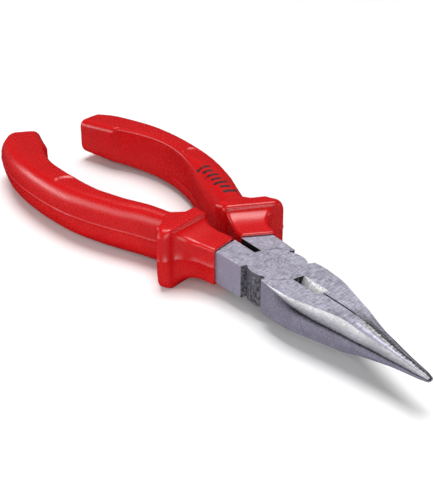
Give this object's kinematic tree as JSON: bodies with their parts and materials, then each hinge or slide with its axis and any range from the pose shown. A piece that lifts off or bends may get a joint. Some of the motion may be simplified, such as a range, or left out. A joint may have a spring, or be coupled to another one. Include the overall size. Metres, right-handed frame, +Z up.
{
  "type": "needle nose pliers",
  "caption": "Needle nose pliers with slim tapered steel jaws, a side cutter, a flush riveted lap joint and curved red plastic grips with raised finger guards.",
  "frame": {"origin": "centre of the bounding box in X and Y, on the plane under the guards that the pliers rest on", "axes": "+X runs to the tip of the jaws, +Y to the handle of the lower lever, +Z up through the thickness"},
  "size_m": [0.1994, 0.063, 0.0188],
  "materials": {
    "steel": "ground, with a fine brushed grain",
    "rivet_steel": "ground flush with the joint",
    "red_pvc": "glossy moulded PVC"
  },
  "bodies": {
    "upper_half": {"upper_lever": "steel", "upper_lever_grip": "red_pvc", "pivot_rivet": "rivet_steel"},
    "lower_half": {"lower_lever": "steel", "lower_lever_grip": "red_pvc"}
  },
  "joints": [
    {"name": "jaw_pivot", "type": "hinge", "parent": "upper_half", "child": "lower_half", "pos_m": [0.04074, 0.00096, 0.0094], "axis": [0, 0, -1], "range_deg": [0, 50]}
  ]
}
